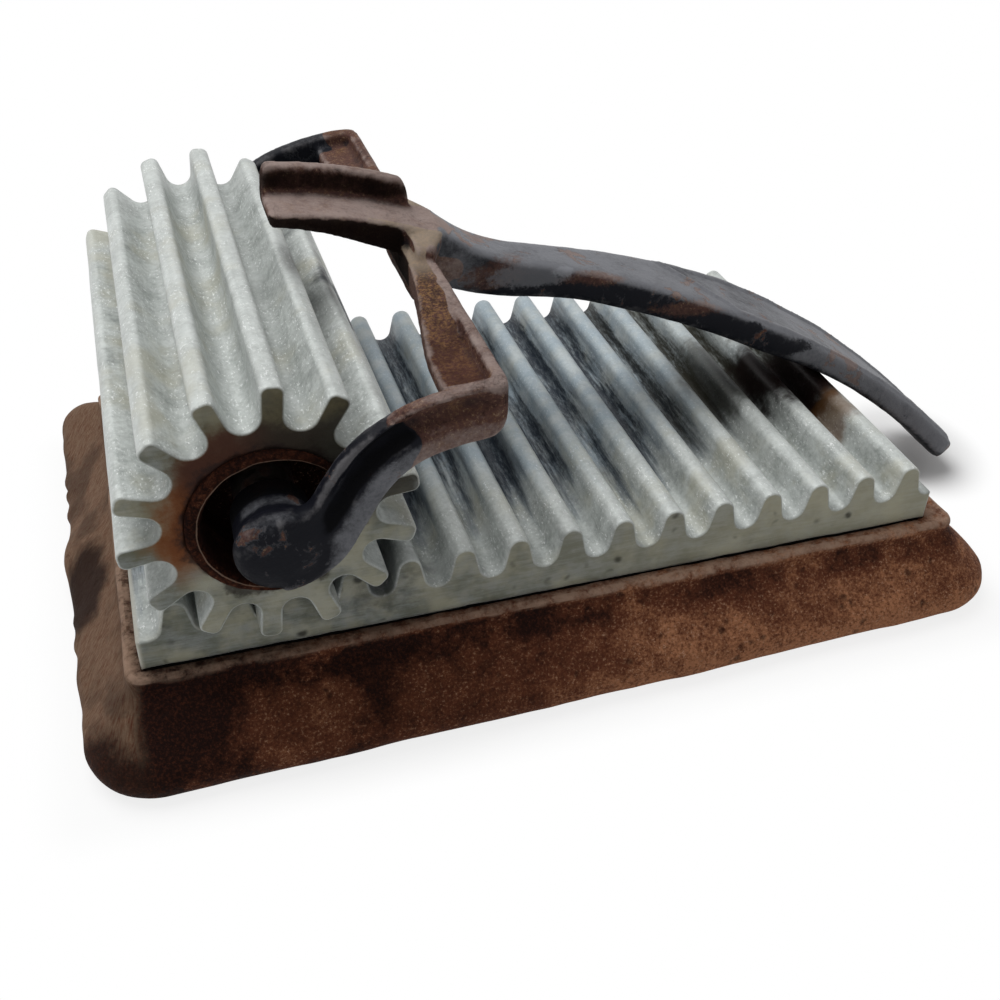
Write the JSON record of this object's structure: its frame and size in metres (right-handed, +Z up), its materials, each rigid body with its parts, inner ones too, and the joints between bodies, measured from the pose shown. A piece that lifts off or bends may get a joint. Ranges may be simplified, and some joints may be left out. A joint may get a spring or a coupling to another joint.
{
  "type": "fluting iron",
  "caption": "Hand fluting iron: a fluted roller in an arched yoke handle rolls along a fluted metal bed fixed on a flared cast-iron base.",
  "frame": {"origin": "middle of the whole tool's box, on the surface that the base stands on", "axes": "+X along the bed from the roller's end towards the handle's tip, +Y along the flutes, away from the viewer, +Z up"},
  "size_m": [0.1948, 0.1136, 0.0809],
  "materials": {
    "base_iron": "rough cast iron with brown rust",
    "flute_metal": "dull light grey cast metal, tarnished in the valleys",
    "screw_steel": "dull dark steel",
    "tube_iron": "rusty iron",
    "axle_steel": "dull steel",
    "yoke_iron": "worn dark paint over brown cast iron"
  },
  "bodies": {
    "base": {"base_casting": "base_iron", "bed_plate": "flute_metal", "bed_screws": "screw_steel"},
    "axle": {"axle_rod": "axle_steel"},
    "roller": {"roller_flutes": "flute_metal", "core_tube": "tube_iron", "front_end_disc": "tube_iron", "back_end_disc": "tube_iron"},
    "handle": {"yoke_handle": "yoke_iron"}
  },
  "joints": [
    {"name": "roller_travel", "type": "slide", "parent": "base", "child": "axle", "axis": [1, 0, 0], "range_m": [0, 0.1215]},
    {"name": "roller_spin", "type": "hinge", "parent": "axle", "child": "roller", "pos_m": [-0.06231, 0, 0.04747], "axis": [0, 1, 0], "range_deg": [0, 329]},
    {"name": "handle_tilt", "type": "hinge", "parent": "axle", "child": "handle", "pos_m": [-0.06231, 0, 0.04747], "axis": [0, -1, 0], "range_deg": [0, 132]}
  ],
  "couplings": [
    {"joint": "roller_spin", "follows": "roller_travel", "rad_per_m": 47.242}
  ]
}
